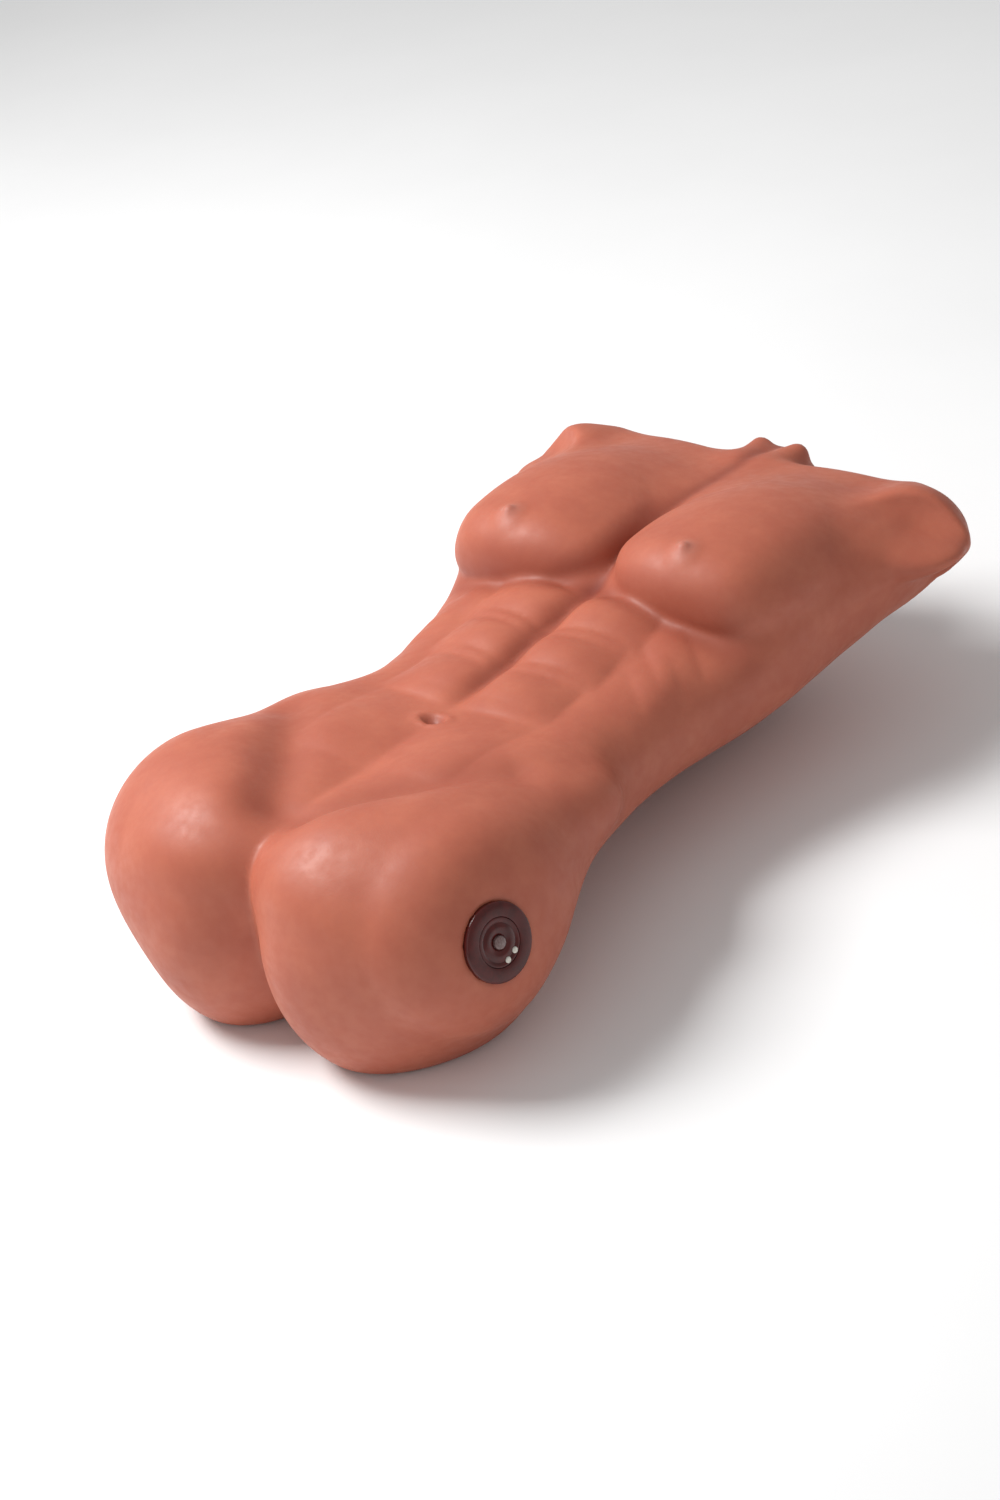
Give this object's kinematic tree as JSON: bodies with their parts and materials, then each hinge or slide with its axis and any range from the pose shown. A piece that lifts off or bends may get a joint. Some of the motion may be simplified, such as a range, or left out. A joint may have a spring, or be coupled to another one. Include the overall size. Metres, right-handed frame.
{
  "type": "limbless torso mannequin",
  "caption": "Headless, limbless soft male torso mannequin lying on its back, smooth closed crotch, foam core on a tube skeleton, round push-button control fitting in its left hip.",
  "frame": {"origin": "on the surface that the mannequin lies on, below the middle of its bounding box", "axes": "+X the mannequin's left, +Y from the hips to the neck, +Z its front, upwards as it lies on its back"},
  "size_m": [0.42, 0.676, 0.208],
  "materials": {
    "skin": "matte cast thermoplastic elastomer, fine pores",
    "foam": "open-cell polyurethane foam",
    "webbing": "woven elastic",
    "tube": "drawn aluminium tube",
    "casting": "machined block",
    "screw": "zinc-plated steel",
    "black_plastic": "moulded nylon",
    "seal": "moulded silicone",
    "gloss_oxblood": "polished moulded ABS",
    "contact": "plated brass",
    "button": "moulded ABS",
    "spring": "spring wire",
    "board": "glass epoxy board",
    "white_plastic": "moulded ABS",
    "cell_wrap": "shrink-wrapped steel can",
    "cable": "PVC-jacketed wire",
    "mat": "polyimide film heater"
  },
  "bodies": {
    "torso": {"elastomer_body": "skin", "foam_core_front": "foam", "foam_core_back": "foam", "core_bands": "webbing", "spine_tube": "tube", "shoulder_bar": "tube", "pelvis_hoop": "tube", "shoulder_tee": "casting", "pelvis_tee": "casting", "tee_set_screws": "screw", "shoulder_bar_caps": "black_plastic", "pelvis_hoop_caps": "black_plastic", "control_cup": "black_plastic", "seal_ring": "seal", "control_bezel": "gloss_oxblood", "control_face": "gloss_oxblood", "charge_contacts": "contact", "button_guide": "black_plastic", "button_spring": "spring", "circuit_board": "board", "board_screws": "screw", "tact_switch": "black_plastic", "board_socket": "white_plastic", "cable_gland": "seal", "battery_tray": "white_plastic", "battery_lid": "white_plastic", "battery_lid_screws": "screw", "battery_cells": "cell_wrap", "battery_board": "board", "battery_cable": "cable", "heating_mat_lead": "cable", "heating_mat": "mat", "heating_mat_plug": "white_plastic"},
    "button": {"push_button": "button"}
  },
  "joints": [
    {"name": "button_press", "type": "slide", "parent": "torso", "child": "button", "axis": [-0.9618, 0.1201, -0.2462], "range_m": [0, 0.001], "stiffness_N_per_m": 600, "springref_m": -0.0006, "deforming": ["button_spring"]}
  ]
}
